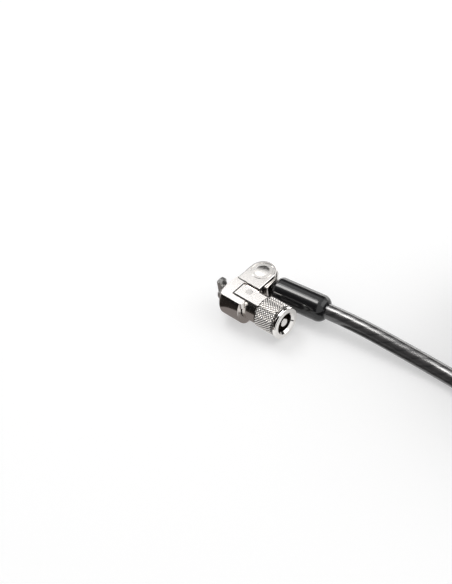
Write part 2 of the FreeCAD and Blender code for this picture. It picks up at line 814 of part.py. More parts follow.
cord_pieces = ("cable", "cable_coil", "loop_ferrule", "cable_loop", "cable_tie")


def place_all():
    """Puts the origin on the surface, under the middle of the lock without its cable."""
    lock = Part.makeCompound([s for name, s in pieces.items() if name not in cord_pieces])
    box = lock.optimalBoundingBox(False)
    shift = V(-(box.XMin + box.XMax) / 2, -(box.YMin + box.YMax) / 2, -floor_height)
    print("box", box, "shift", shift)
    for shape in pieces.values():
        shape.translate(shift)
    pivot = V(ear_middle, pivot_offset, boot_height) + shift
    print("pivot at", pivot, "barrel axis", V(0, 0, 0) + shift)


def write_all():
    os.makedirs("parts", exist_ok=True)
    for name, shape in pieces.items():
        shape.exportStep(f"parts/{name}.step")
        print(name, "solids", len(shape.Solids), "valid", shape.isValid(), "volume", round(shape.Volume, 2))


make_pieces()
place_all()
write_all()
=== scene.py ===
import bmesh
import bpy
import math
from mathutils import Matrix, Vector


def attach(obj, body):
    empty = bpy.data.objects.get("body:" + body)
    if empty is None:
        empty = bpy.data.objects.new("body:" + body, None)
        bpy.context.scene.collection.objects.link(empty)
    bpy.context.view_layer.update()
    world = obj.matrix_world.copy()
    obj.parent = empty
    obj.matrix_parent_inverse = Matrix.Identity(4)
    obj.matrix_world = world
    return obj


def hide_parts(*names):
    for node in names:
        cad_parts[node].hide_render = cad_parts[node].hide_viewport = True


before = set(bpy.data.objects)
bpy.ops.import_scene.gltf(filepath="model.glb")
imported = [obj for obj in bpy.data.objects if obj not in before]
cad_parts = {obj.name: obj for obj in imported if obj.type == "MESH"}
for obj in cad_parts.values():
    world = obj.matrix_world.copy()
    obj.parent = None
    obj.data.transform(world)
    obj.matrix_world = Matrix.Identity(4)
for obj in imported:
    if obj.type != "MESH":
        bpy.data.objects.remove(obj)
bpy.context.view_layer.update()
bpy.ops.object.select_all(action="DESELECT")
mm = 0.001

# the left end of the barrel's axis, in the frame: the pieces' own places, in mm, count from there
barrelOrigin = Vector((-10.657415, -4.113255, 6.0)) * mm

# Camera

camera = {
    "place": (157.306, -139.448, 212.635),  # mm
    "turn": (44.40699, 6.59733, 42.24553),  # degrees
    "lens": 65.3425,
    "sensor": 36,
    "near": 0.01,
    "far": 20,
}
cameraData = bpy.data.cameras.new("photoCamera")
cameraData.lens = camera["lens"]
cameraData.sensor_width = camera["sensor"]
cameraData.clip_start = camera["near"]
cameraData.clip_end = camera["far"]
cameraObject = bpy.data.objects.new("photoCamera", cameraData)
cameraObject.location = barrelOrigin + Vector(camera["place"]) * mm
cameraObject.rotation_euler = [math.radians(a) for a in camera["turn"]]
bpy.context.collection.objects.link(cameraObject)
bpy.context.scene.camera = cameraObject
bpy.context.scene.view_settings.view_transform = "Standard"
print("camera placed")

# Helpers for meshes

# degrees between two faces, under which they shade as one
smoothAngles = {"cord": 60, "fitting": 40, "grip": 20}


def finishPiece(piece, body, nodes, smooth):
    bpy.ops.object.select_all(action="DESELECT")
    piece.select_set(True)
    bpy.context.view_layer.objects.active = piece
    bpy.ops.object.transform_apply(location=True, rotation=True, scale=True)
    bpy.ops.object.shade_smooth_by_angle(angle=math.radians(smooth))
    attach(piece, body)
    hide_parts(*nodes)
    bpy.ops.object.select_all(action="DESELECT")
    print("piece", piece.name, "faces", len(piece.data.polygons))


def addPlane(name):
    bpy.ops.mesh.primitive_plane_add(size=1)
    plane = bpy.context.object
    plane.name = name
    return plane


def editAll():
    bpy.ops.object.mode_set(mode="EDIT")
    bpy.ops.mesh.select_all(action="SELECT")


def leaveEdit():
    bpy.ops.object.mode_set(mode="OBJECT")


def routeLine(name, points):
    # a smooth line along the points, which are the corners of its hull
    curve = bpy.data.curves.new(name, "CURVE")
    curve.dimensions = "3D"
    spline = curve.splines.new("NURBS")
    spline.points.add(len(points) - 1)
    for corner, point in zip(spline.points, points):
        corner.co = (*point, 1)
    spline.order_u = cableRun["lineOrder"]
    spline.use_endpoint_u = True
    spline.resolution_u = cableRun["lineSteps"]
    holder = bpy.data.objects.new(name, curve)
    bpy.context.collection.objects.link(holder)
    lineMesh = bpy.data.meshes.new_from_object(holder)
    line = [v.co.copy() for v in lineMesh.vertices]
    bpy.data.objects.remove(holder)
    bpy.data.meshes.remove(lineMesh)
    return line


def tubeAlong(name, line, radius, sides):
    # a round tube with UVs: u is the length so far in mm, v goes once round
    build = bmesh.new()
    uvLayer = build.loops.layers.uv.new("along")
    way = (line[1] - line[0]).normalized()
    side = way.orthogonal().normalized()
    rings = []
    lengths = [0.0]
    for index, place in enumerate(line):
        before = line[max(index - 1, 0)]
        after = line[min(index + 1, len(line) - 1)]
        newWay = (after - before).normalized()
        side = (side - newWay * side.dot(newWay)).normalized()
        up = newWay.cross(side)
        ring = []
        for step in range(sides):
            angle = 2 * math.pi * step / sides
            spoke = side * math.cos(angle) + up * math.sin(angle)
            ring.append(build.verts.new(place + spoke * radius))
        rings.append(ring)
        if index:
            lengths.append(lengths[-1] + (place - before).length / mm)
    for index in range(len(rings) - 1):
        near, far = rings[index], rings[index + 1]
        start, end = lengths[index], lengths[index + 1]
        for step in range(sides):
            after = (step + 1) % sides
            face = build.faces.new((near[step], near[after], far[after], far[step]))
            face.smooth = True
            spots = ((start, step), (start, step + 1), (end, step + 1), (end, step))
            for loop, (along, turned) in zip(face.loops, spots):
                loop[uvLayer].uv = (along, turned / sides)
    for cap in (build.faces.new(rings[0][::-1]), build.faces.new(rings[-1])):
        cap.smooth = False
    tubeMesh = bpy.data.meshes.new(name)
    build.to_mesh(tubeMesh)
    build.free()
    tube = bpy.data.objects.new(name, tubeMesh)
    bpy.context.collection.objects.link(tube)
    return tube


# Cable: its route to the coil, the coil's turns, and the straight end in the ferrule

cableRun = {
    "route": (
        (25.799, 10.799, -0.725), (34.36, 11.623, -0.725), (47.5, 12.45, -1.95),
        (60.5, 13.2, -3.45), (71.4, 12.458, -2.85), (80.358, 11.589, -2.85),
    ),
    "radius": 2.25,
    "length": 1.80,  # m
    "coilCentre": (88.6, 41.8),
    "coilInner": 18.5,
    "coilTurns": 2.5,  # in each layer
    "coilLayers": 4,
    "coilEnd": 11.0,  # turns in all
    "coilPitch": 4.95,
    "coilBottom": -2.85,  # height of the lowest turn's middle
    "startAngle": -97.0,
    "climb": 0.5,  # turns that a change of layer takes
    "headingStep": 0.0005,
    "tail": (2.0, 5.5),  # straight past the coil's end, inside the ferrule
    "pointsPerTurn": 16,
    "lineOrder": 3,
    "lineSteps": 6,
    "sides": 24,
}


def coilPoint(turn, spread=1.0):
    turns = cableRun["coilTurns"]
    pitch = cableRun["coilPitch"]
    leg = int(turn / turns)
    along = turn - leg * turns
    radius = cableRun["coilInner"] + pitch * (turns - along if leg % 2 == 0 else along)
    climbs = [n * turns for n in range(1, cableRun["coilLayers"] + 1)]
    climbs.append(cableRun["coilEnd"] - cableRun["climb"] / 2)
    level = 0
    for middle in climbs:
        part = min(max((turn - middle) / cableRun["climb"] + 0.5, 0), 1)
        level += part * part * (3 - 2 * part)  # eases in and out of each climb
    angle = math.radians(cableRun["startAngle"]) + 2 * math.pi * turn
    centre = cableRun["coilCentre"]
    return Vector((
        centre[0] + radius * spread * math.cos(angle),
        centre[1] + radius * spread * math.sin(angle),
        cableRun["coilBottom"] + pitch * level,
    ))


def coilHeading():
    end = cableRun["coilEnd"]
    step = cableRun["headingStep"]
    return (coilPoint(end + step) - coilPoint(end - step)).normalized()


def cablePoints():
    count = cableRun["pointsPerTurn"]
    spread = 1 / math.cos(math.pi / count)
    points = [Vector(p) for p in cableRun["route"]]
    points += [coilPoint((k + 0.5) / count, spread) for k in range(round(cableRun["coilEnd"] * count))]
    end = coilPoint(cableRun["coilEnd"])
    points += [end + coilHeading() * length for length in cableRun["tail"]]
    return [barrelOrigin + p * mm for p in points]


cableLine = routeLine("cableRoute", cablePoints())
cablePiece = tubeAlong("cableRun", cableLine, cableRun["radius"] * mm, cableRun["sides"])
finishPiece(cablePiece, "cable_side", ("cable", "cable_coil"), smoothAngles["cord"])

# End loop: a bight of the same cable, bent to lie along the coil's top turn

endLoop = {
    "strand": 2.35,  # each leg's distance from the middle line, in the ferrule
    "lead": 1.0,  # of each leg, inside the ferrule
    "spread": 28.0,  # degrees, between each leg and the middle line
    "shoulder": 18.0,  # radius of the bend out of the ferrule
    "round": 11.5,  # radius of the loop's far end
    "bend": 26.0,  # radius that the whole loop is bent to
    "start": 16.5,  # from the coil's end to the ferrule's far face
    "straightEnough": 1e-9,
}


def loopStations():
    # places and directions along the bight, drawn flat along X and then bent
    spread = endLoop["spread"]
    sine = math.sin(math.radians(spread))
    cosine = math.cos(math.radians(spread))
    rim = endLoop["round"]
    x1 = endLoop["shoulder"] * sine
    y1 = endLoop["strand"] + endLoop["shoulder"] * (1 - cosine)
    straight = (rim * cosine - y1) / sine
    x2 = x1 + straight * cosine
    y2 = y1 + straight * sine
    x3 = x2 + rim * sine
    half = rim * math.sqrt(0.5)
    # x, y and heading in degrees of one leg, to the loop's far point
    flat = [
        (-endLoop["lead"], endLoop["strand"], 0), (0, endLoop["strand"], 0), (x1, y1, spread),
        ((x1 + x2) / 2, (y1 + y2) / 2, spread), (x2, y2, spread), (x3, rim, 0),
        (x3 + half, half, -45), (x3 + rim, 0, -90),
    ]
    flat += [(x, -y, 180 - heading) for x, y, heading in reversed(flat[:-1])]
    stations = []
    for x, y, heading in flat:
        bend = x / endLoop["bend"]
        inner = endLoop["bend"] - y
        place = Vector((inner * math.sin(bend), endLoop["bend"] - inner * math.cos(bend), 0))
        along = Vector((math.cos(bend), math.sin(bend), 0)) * (inner / endLoop["bend"])
        across = Vector((-math.sin(bend), math.cos(bend), 0))
        turn = math.radians(heading)
        stations.append((place, (along * math.cos(turn) + across * math.sin(turn)).normalized()))
    return stations


def loopPoints():
    stations = loopStations()
    flat = [stations[0][0]]
    for (first, firstWay), (second, secondWay) in zip(stations, stations[1:]):
        # each pair of stations is joined by two arcs with legs of one length
        gap = second - first
        square = 2 * (1 - firstWay.dot(secondWay))
        linear = 2 * gap.dot(firstWay + secondWay)
        rest = -gap.dot(gap)
        leg = -rest / linear
        if square > endLoop["straightEnough"]:
            leg = (-linear + math.sqrt(linear * linear - 4 * square * rest)) / (2 * square)
        flat += [first + firstWay * leg, second - secondWay * leg]
    flat.append(stations[-1][0])
    heading = coilHeading()
    start = coilPoint(cableRun["coilEnd"]) + heading * endLoop["start"]
    turned = Matrix.Rotation(math.atan2(heading.y, heading.x), 3, "Z")
    return [barrelOrigin + (start + turned @ p) * mm for p in flat]


loopLine = routeLine("loopRoute", loopPoints())
loopPiece = tubeAlong("endLoop", loopLine, cableRun["radius"] * mm, cableRun["sides"])
finishPiece(loopPiece, "cable_side", ("cable_loop",), smoothAngles["cord"])

# Ferrule: an oval sleeve pressed on the two strands, with two pressing marks

ferrule = {
    "start": 4.5,  # from the coil's end
    "length": 12.0, "halfWide": 5.3, "halfHigh": 2.6, "sides": 48,
    "noseHalf": 2.6, "noseLength": 4.2, "noseRings": (1.6, 2.8),
    "edge": 0.5, "edgeShrink": 0.6,
    "marks": (5.2, 8.6), "markDepth": 0.22, "markWidth": 1.5, "markRamp": 0.25,
}


def ferruleHalves(x):
    # half the width and half the height, at x along the sleeve
    wide = ferrule["halfWide"]
    if x < ferrule["noseLength"]:
        part = x / ferrule["noseLength"]
        wide = ferrule["noseHalf"] + (wide - ferrule["noseHalf"]) * math.sin(part * math.pi / 2)
    shrink = 0.0
    if x == 0 or x == ferrule["length"]:
        shrink = ferrule["edge"] * ferrule["edgeShrink"]
    for mark in ferrule["marks"]:
        if abs(x - mark) < (ferrule["markWidth"] - ferrule["markRamp"]) / 2:
            shrink = ferrule["markDepth"]
    return wide - shrink, ferrule["halfHigh"] - shrink


def makeFerrule():
    stations = [0.0, ferrule["edge"], *ferrule["noseRings"], ferrule["noseLength"]]
    half = ferrule["markWidth"] / 2
    floorHalf = half - ferrule["markRamp"]
    for mark in ferrule["marks"]:
        stations += [mark - half, mark - floorHalf, mark + floorHalf, mark + half]
    stations += [ferrule["length"] - ferrule["edge"], ferrule["length"]]
    piece = addPlane("swagedFerrule")
    sides = ferrule["sides"]
    build = bmesh.new()
    rings = []
    for x in stations:
        wide, high = ferruleHalves(x)
        ring = []
        for step in range(sides):
            angle = 2 * math.pi * step / sides
            ring.append(build.verts.new(Vector((x, wide * math.cos(angle), high * math.sin(angle))) * mm))
        rings.append(ring)
    for near, far in zip(rings, rings[1:]):
        for step in range(sides):
            after = (step + 1) % sides
            build.faces.new((near[step], near[after], far[after], far[step]))
    build.faces.new(rings[0][::-1])
    build.faces.new(rings[-1])
    bmesh.ops.recalc_face_normals(build, faces=build.faces)
    build.to_mesh(piece.data)
    build.free()
    heading = coilHeading()
    start = barrelOrigin + (coilPoint(cableRun["coilEnd"]) + heading * ferrule["start"]) * mm
    turned = Matrix.Rotation(math.atan2(heading.y, heading.x), 4, "Z")
    piece.data.transform(Matrix.Translation(start) @ turned)
    return piece


ferrulePiece = makeFerrule()
finishPiece(ferrulePiece, "cable_side", ("loop_ferrule",), smoothAngles["fitting"])

# Tie: a strap round the coil, as a band with soft edges

coilTie = {
    "angle": 75.0, "width": 12.0, "thick": 0.75,
    "inner": 14.958, "outer": 33.225, "bottom": 0.8, "top": 20.7, "over": 25.4,
    "corner": 1.5, "level": 5.85,
    "bend": 1.1, "bendSteps": 4, "round": 0.25, "roundSteps": 3,
}


def makeTie():
    inner, outer, bottom = coilTie["inner"], coilTie["outer"], coilTie["bottom"]
    top, over = coilTie["top"], coilTie["over"]
    # the band's profile, by distance from the coil's middle and height above the floor
    outline = (
        (inner, bottom), (outer, bottom), (outer, top), (outer - coilTie["corner"], over),
        (outer - coilTie["level"], over), (inner, top),
    )
    piece = addPlane("coilTie")
    build = bmesh.new()
    corners = [build.verts.new(Vector((x, -coilTie["width"] / 2, z)) * mm) for x, z in outline]
    for near, far in zip(corners, corners[1:] + corners[:1]):
        build.edges.new((near, far))
    build.to_mesh(piece.data)
    build.free()
    editAll()
    bpy.ops.mesh.bevel(offset=coilTie["bend"] * mm, segments=coilTie["bendSteps"], affect="VERTICES")
    bpy.ops.mesh.select_all(action="SELECT")
    bpy.ops.mesh.extrude_edges_move(TRANSFORM_OT_translate={"value": (0, coilTie["width"] * mm, 0)})
    bpy.ops.mesh.select_all(action="SELECT")
    bpy.ops.mesh.normals_make_consistent(inside=False)
    leaveEdit()
    wall = piece.modifiers.new("wall", "SOLIDIFY")
    wall.thickness = coilTie["thick"] * mm
    wall.offset = 1
    bpy.ops.object.modifier_apply(modifier=wall.name)
    soft = piece.modifiers.new("softEdge", "BEVEL")
    soft.width = coilTie["round"] * mm
    soft.segments = coilTie["roundSteps"]
    soft.limit_method = "ANGLE"
    bpy.ops.object.modifier_apply(modifier=soft.name)
    centre = cableRun["coilCentre"]
    place = Vector((barrelOrigin.x + centre[0] * mm, barrelOrigin.y + centre[1] * mm, 0))
    turned = Matrix.Rotation(math.radians(coilTie["angle"]), 4, "Z")
    piece.data.transform(Matrix.Translation(place) @ turned)
    return piece


tiePiece = makeTie()
finishPiece(tiePiece, "cable_side", ("cable_tie",), smoothAngles["fitting"])

tuple(cablePoints()[0])

# Knurled grip: a sheet of diamonds, each raised to a point, wrapped round the barrel

knurledGrip = {
    "start": 11.65, "end": 18.2, "radius": 4.36, "seat": 4.05,
    "around": 34, "cellLong": 0.86, "height": 0.30, "spareCells": 4,
    "endRound": 0.5, "endDrop": 0.3,
    "endSink": 0.7,  # the share of their height that the points lose at the ends
    "poke": 0.5, "weld": 0.002,
}


def knurlSheet(length, around):
    # a flat sheet of points, length by around, about its middle
    wide = around / knurledGrip["around"]
    long = knurledGrip["cellLong"]
    cells = int(around / wide + length / long) + knurledGrip["spareCells"]
    bpy.ops.mesh.primitive_grid_add(x_subdivisions=cells, y_subdivisions=cells, size=cells)
    sheet = bpy.context.object
    sheet.name = "knurledGrip"
    editAll()
    bpy.ops.mesh.poke(offset=knurledGrip["poke"], use_relative_offset=False)
    leaveEdit()
    # each cell's corners go to a lattice of diamonds, wide by long
    for v in sheet.data.vertices:
        a, b = v.co.x, v.co.y
        v.co.x = (a + b) / 2 * long
        v.co.y = (a - b) / 2 * wide
    bpy.ops.object.mode_set(mode="EDIT")
    for place, normal in (((-length / 2, 0, 0), (-1, 0, 0)), ((length / 2, 0, 0), (1, 0, 0)),
                          ((0, -around / 2, 0), (0, -1, 0)), ((0, around / 2, 0), (0, 1, 0))):
        bpy.ops.mesh.select_all(action="SELECT")
        bpy.ops.mesh.bisect(plane_co=place, plane_no=normal, clear_outer=True)
    leaveEdit()
    return sheet


def makeKnurledGrip():
    bottom = knurledGrip["radius"]
    length = knurledGrip["end"] - knurledGrip["start"]
    piece = knurlSheet(length, 2 * math.pi * bottom)
    for v in piece.data.vertices:
        x = v.co.x + length / 2
        angle = v.co.y / bottom
        part = max(1 - min(x, length - x) / knurledGrip["endRound"], 0)
        drop = knurledGrip["endDrop"] * (1 - math.sqrt(max(1 - part * part, 0)))
        point = v.co.z / knurledGrip["poke"] * knurledGrip["height"] * (1 - knurledGrip["endSink"] * part)
        radius = (bottom - drop + point) * mm
        v.co = ((knurledGrip["start"] + x) * mm, radius * math.sin(angle), radius * math.cos(angle))
    editAll()
    bpy.ops.mesh.remove_doubles(threshold=knurledGrip["weld"] * mm)
    bpy.ops.mesh.select_all(action="DESELECT")
    bpy.ops.mesh.select_non_manifold(extend=False, use_boundary=True, use_wire=False,
                                     use_multi_face=False, use_non_contiguous=False, use_verts=False)
    bpy.ops.mesh.extrude_edges_move()
    leaveEdit()
    # the ends' new edges go down to the barrel, and a wall inside joins them
    for v in piece.data.vertices:
        if v.select:
            seat = Vector((0, v.co.y, v.co.z)).normalized() * knurledGrip["seat"] * mm
            v.co = (v.co.x, seat.y, seat.z)
    bpy.ops.object.mode_set(mode="EDIT")
    bpy.ops.mesh.bridge_edge_loops()
    bpy.ops.mesh.select_all(action="SELECT")
    bpy.ops.mesh.normals_make_consistent(inside=False)
    leaveEdit()
    piece.data.transform(Matrix.Translation(barrelOrigin))
    return piece


gripPiece = makeKnurledGrip()
finishPiece(gripPiece, "head", ("knurled_sleeve",), smoothAngles["grip"])

# Shared shader effects, as node groups

# a mix node's colour sockets share their names with its other kinds, so they go by number
mixSockets = {"first": 6, "second": 7, "result": 2}


def feed(tree, socket, value):
    # a socket takes another node's output, or a plain value
    if isinstance(value, bpy.types.NodeSocket):
        tree.links.new(value, socket)
    else:
        socket.default_value = value


def newGroup(name, vector, numbers, results):
    # a vector and some numbers go in, and only numbers come out
    group = bpy.data.node_groups.new(name, "ShaderNodeTree")
    group.interface.new_socket(vector, in_out="INPUT", socket_type="NodeSocketVector")
    for number in numbers:
        group.interface.new_socket(number, in_out="INPUT", socket_type="NodeSocketFloat")
    for result in results:
        group.interface.new_socket(result, in_out="OUTPUT", socket_type="NodeSocketFloat")
    return group, group.nodes.new("NodeGroupInput"), group.nodes.new("NodeGroupOutput")


def mathNode(tree, operation, first, second=None, clamp=False):
    node = tree.nodes.new("ShaderNodeMath")
    node.operation = operation
    node.use_clamp = clamp
    feed(tree, node.inputs[0], first)
    if second is not None:
        feed(tree, node.inputs[1], second)
    return node.outputs[0]


def noiseNode(tree, vector, scale, detail, roughness=0.5):
    node = tree.nodes.new("ShaderNodeTexNoise")
    node.inputs["Detail"].default_value = detail
    node.inputs["Roughness"].default_value = roughness
    feed(tree, node.inputs["Scale"], scale)
    tree.links.new(vector, node.inputs["Vector"])
    return node.outputs[0]


def mixColours(tree, factor, first, second, blend="MIX"):
    mix = tree.nodes.new("ShaderNodeMix")
    mix.data_type = "RGBA"
    mix.blend_type = blend
    feed(tree, mix.inputs["Factor"], factor)
    feed(tree, mix.inputs[mixSockets["first"]], first)
    feed(tree, mix.inputs[mixSockets["second"]], second)
    return mix.outputs[mixSockets["result"]]


def splitVector(tree, vector):
    split = tree.nodes.new("ShaderNodeSeparateXYZ")
    tree.links.new(vector, split.inputs[0])
    return split.outputs


grainNoise = {"slowDetail": 2.0, "fineFactor": 9.0, "fineDetail": 4.0, "fineRoughness": 0.6}


def makeSurfaceGrain():
    # slow tone changes and fine pits, as cast or moulded skins have
    group, start, end = newGroup("surfaceGrain", "Place", ("Scale", "Tone"), ("Shade", "Pits"))
    place, scale = start.outputs["Place"], start.outputs["Scale"]
    slow = noiseNode(group, place, scale, grainNoise["slowDetail"])
    centred = mathNode(group, "SUBTRACT", slow, 0.5)
    toned = mathNode(group, "MULTIPLY", centred, start.outputs["Tone"])
    shade = mathNode(group, "ADD", toned, 1.0)
    fineScale = mathNode(group, "MULTIPLY", scale, grainNoise["fineFactor"])
    pits = noiseNode(group, place, fineScale, grainNoise["fineDetail"], grainNoise["fineRoughness"])
    group.links.new(shade, end.inputs["Shade"])
    group.links.new(pits, end.inputs["Pits"])
    return group


scuffLines = {
    "turns": ((0.3, 0.1, 0.7), (1.2, 0.9, -0.6)),  # radians, one set of lines each
    "scale": (300.0, 9000.0, 5200.0), "detail": 2.0, "cut": 0.62, "contrast": 7.0,
}


def makeHandlingMarks():
    # short hairline scuffs in two directions, as a mask
    group, start, end = newGroup("handlingMarks", "Place", ("Amount",), ("Scuffs",))
    masks = []
    for turn in scuffLines["turns"]:
        mapping = group.nodes.new("ShaderNodeMapping")
        mapping.inputs["Rotation"].default_value = turn
        mapping.inputs["Scale"].default_value = scuffLines["scale"]
        group.links.new(start.outputs["Place"], mapping.inputs["Vector"])
        lines = noiseNode(group, mapping.outputs[0], 1.0, scuffLines["detail"])
        above = mathNode(group, "SUBTRACT", lines, scuffLines["cut"])
        masks.append(mathNode(group, "MULTIPLY", above, scuffLines["contrast"], True))
    both = mathNode(group, "MAXIMUM", masks[0], masks[1])
    scaled = mathNode(group, "MULTIPLY", both, start.outputs["Amount"], True)
    group.links.new(scaled, end.inputs["Scuffs"])
    return group


ropeWires = {"perStrand": 5.0, "twist": -1.6}  # the wires turn against the strands, and faster


def makeStrandLay():
    # the rope's outer strands and their wires, from a cord's own UVs
    group, start, end = newGroup("strandLay", "Along", ("Strands", "Lay"), ("Crown", "Wires"))
    split = splitVector(group, start.outputs["Along"])
    turn = mathNode(group, "DIVIDE", split["X"], start.outputs["Lay"])

    def crown(strands, twist):
        # 1 along the middle of each strand, and 0 between two
        spin = mathNode(group, "MULTIPLY", turn, twist)
        angle = mathNode(group, "ADD", split["Y"], spin)
        phase = mathNode(group, "MULTIPLY", angle, strands)
        part = mathNode(group, "FRACT", phase)
        off = mathNode(group, "ABSOLUTE", mathNode(group, "SUBTRACT", part, 0.5))
        wide = mathNode(group, "MULTIPLY", off, 2.0)
        square = mathNode(group, "MULTIPLY", wide, wide)
        return mathNode(group, "SQRT", mathNode(group, "SUBTRACT", 1.0, square, True))

    group.links.new(crown(start.outputs["Strands"], 1.0), end.inputs["Crown"])
    wires = mathNode(group, "MULTIPLY", start.outputs["Strands"], ropeWires["perStrand"])
    group.links.new(crown(wires, ropeWires["twist"]), end.inputs["Wires"])
    return group


surfaceGrain = makeSurfaceGrain()
handlingMarks = makeHandlingMarks()
strandLay = makeStrandLay()
print("shader groups made")

# Materials


def newMaterial(name):
    material = bpy.data.materials.new(name)
    material.use_nodes = True
    return material, material.node_tree, material.node_tree.nodes["Principled BSDF"]


def placeGroup(tree, group, vector, values):
    node = tree.nodes.new("ShaderNodeGroup")
    node.node_tree = group
    for name, value in values.items():
        node.inputs[name].default_value = value
    tree.links.new(vector, node.inputs[0])
    return node


def placeGrain(tree, place, finish):
    return placeGroup(tree, surfaceGrain, place, {"Scale": finish["grain"], "Tone": finish["tone"]})


def objectPlace(tree):
    return tree.nodes.new("ShaderNodeTexCoord").outputs["Object"]


def scaledColour(tree, colour, factor):
    combine = tree.nodes.new("ShaderNodeCombineColor")
    for socket in combine.inputs:
        tree.links.new(factor, socket)
    return mixColours(tree, 1.0, (*colour, 1), combine.outputs[0], "MULTIPLY")


def bumpNormal(tree, height, distance):
    bump = tree.nodes.new("ShaderNodeBump")
    bump.inputs["Distance"].default_value = distance
    bump.inputs["Strength"].default_value = 1.0
    tree.links.new(height, bump.inputs["Height"])
    return bump.outputs[0]


metalFinishes = {
    # name: colour, roughness, grain scale, tone, pit depth in mm, scuffs
    "satinNickel": ((0.80, 0.775, 0.75), 0.16, 350.0, 0.07, 0.0007, 0.15),
    "polishedNickel": ((0.84, 0.82, 0.795), 0.09, 300.0, 0.06, 0.0006, 0.30),
    "knurlNickel": ((0.84, 0.815, 0.79), 0.09, 500.0, 0.08, 0.0006, 0.10),
    "turnedSteel": ((0.60, 0.60, 0.59), 0.28, 600.0, 0.14, 0.0020, 0.45),
    "darkKeyway": ((0.10, 0.085, 0.075), 0.34, 500.0, 0.18, 0.0020, 0.30),
    "turnedBrass": ((0.74, 0.58, 0.31), 0.26, 500.0, 0.12, 0.0020, 0.40),
    "groovedNickel": ((0.80, 0.775, 0.75), 0.16, 350.0, 0.07, 0.0007, 0.15),
    "dottedSteel": ((0.66, 0.64, 0.62), 0.12, 600.0, 0.14, 0.0012, 0.35),
}
metalWear = {"pitRoughness": 0.10, "scuffRoughness": 0.22}
# painted shade bands: each band's start and end along the barrel, and the height above its axis that it
# stays under, in mm
gapShadeBands = ((2.70, 2.95, 10.0), (7.08, 7.40, 3.3), (18.15, 18.75, 10.0))
# the colour of the painted shade in the seams
gapShadeColour = (0.012, 0.010, 0.009)
# painted shade: the knurl's colour is darkened up to the low distance from the barrel's axis and kept
# full from the high one, in mm
valleyShade = {"low": 4.37, "high": 4.54, "shade": 0.20}


def withPaintedGapShade(tree, place, base):
    # painted shade: black bands stand in for the shadow in the seams at the collar, and a third black
    # band lies in the groove beside the grip
    split = splitVector(tree, place)
    mask = 0.0
    for start, end, top in gapShadeBands:
        first = mathNode(tree, "GREATER_THAN", split["X"], barrelOrigin.x + start * mm)
        last = mathNode(tree, "LESS_THAN", split["X"], barrelOrigin.x + end * mm)
        under = mathNode(tree, "LESS_THAN", split["Z"], barrelOrigin.z + top * mm)
        band = mathNode(tree, "MULTIPLY", mathNode(tree, "MULTIPLY", first, last), under)
        mask = mathNode(tree, "MAXIMUM", band, mask)
    return mixColours(tree, mask, base, (*gapShadeColour, 1))


def withPaintedValleyShade(tree, place, base):
    # painted shade: the knurl's colour is darkened down in the cuts between its points, by distance from
    # the barrel's axis, while the points keep their full colour
    split = splitVector(tree, place)
    across = mathNode(tree, "SUBTRACT", split["Y"], barrelOrigin.y)
    up = mathNode(tree, "SUBTRACT", split["Z"], barrelOrigin.z)
    acrossSquare = mathNode(tree, "MULTIPLY", across, across)
    upSquare = mathNode(tree, "MULTIPLY", up, up)
    height = tree.nodes.new("ShaderNodeMapRange")
    distance = mathNode(tree, "SQRT", mathNode(tree, "ADD", acrossSquare, upSquare))
    tree.links.new(distance, height.inputs["Value"])
    height.inputs["From Min"].default_value = valleyShade["low"] * mm
    height.inputs["From Max"].default_value = valleyShade["high"] * mm
    height.inputs["To Min"].default_value = valleyShade["shade"]
    shade = tree.nodes.new("ShaderNodeVectorMath")
    shade.operation = "SCALE"
    tree.links.new(base, shade.inputs[0])
    tree.links.new(height.outputs[0], shade.inputs["Scale"])
    return shade.outputs[0]


def makeMetal(name):
    colour, roughness, scale, tone, depth, scuffs = metalFinishes[name]
    material, tree, shader = newMaterial(name)
    place = objectPlace(tree)
    grain = placeGrain(tree, place, {"grain": scale, "tone": tone})
    marks = placeGroup(tree, handlingMarks, place, {"Amount": scuffs})
    base = scaledColour(tree, colour, grain.outputs["Shade"])
    # painted shade in the seams at the collar, and a black band in the groove beside the grip
    if name == "groovedNickel":
        base = withPaintedGapShade(tree, place, base)
    # painted shade down in the knurl's cuts
    if name == "knurlNickel":
        base = withPaintedValleyShade(tree, place, base)
    tree.links.new(base, shader.inputs["Base Color"])
    shader.inputs["Metallic"].default_value = 1.0
    spread = metalWear["pitRoughness"]
    rough = mathNode(tree, "MULTIPLY", grain.outputs["Pits"], spread)
    rough = mathNode(tree, "ADD", rough, roughness - spread / 2)
    marked = mathNode(tree, "MULTIPLY", marks.outputs["Scuffs"], metalWear["scuffRoughness"])
    tree.links.new(mathNode(tree, "ADD", rough, marked), shader.inputs["Roughness"])
    tree.links.new(bumpNormal(tree, grain.outputs["Pits"], depth * mm), shader.inputs["Normal"])
    return material


metals = {name: makeMetal(name) for name in metalFinishes}

bootFinish = {
    "colour": (0.009, 0.009, 0.010), "grain": 450.0, "tone": 0.25, "pits": 0.003,
    "roughness": 0.30, "specular": 0.12, "scuffs": 0.35, "scuffRoughness": 0.25,
    "coat": 1.0, "coatIor": 1.4, "coatRoughness": 0.05,
}


def makeGlossBoot():
    material, tree, shader = newMaterial("glossBoot")
    place = objectPlace(tree)
    grain = placeGrain(tree, place, bootFinish)
    marks = placeGroup(tree, handlingMarks, place, {"Amount": bootFinish["scuffs"]})
    base = scaledColour(tree, bootFinish["colour"], grain.outputs["Shade"])
    tree.links.new(base, shader.inputs["Base Color"])
    rough = mathNode(tree, "MULTIPLY", marks.outputs["Scuffs"], bootFinish["scuffRoughness"])
    tree.links.new(mathNode(tree, "ADD", rough, bootFinish["roughness"]), shader.inputs["Roughness"])
    shader.inputs["Specular IOR Level"].default_value = bootFinish["specular"]
    shader.inputs["Coat Weight"].default_value = bootFinish["coat"]
    shader.inputs["Coat IOR"].default_value = bootFinish["coatIor"]
    shader.inputs["Coat Roughness"].default_value = bootFinish["coatRoughness"]
    normal = bumpNormal(tree, grain.outputs["Pits"], bootFinish["pits"] * mm)
    tree.links.new(normal, shader.inputs["Normal"])
    return material


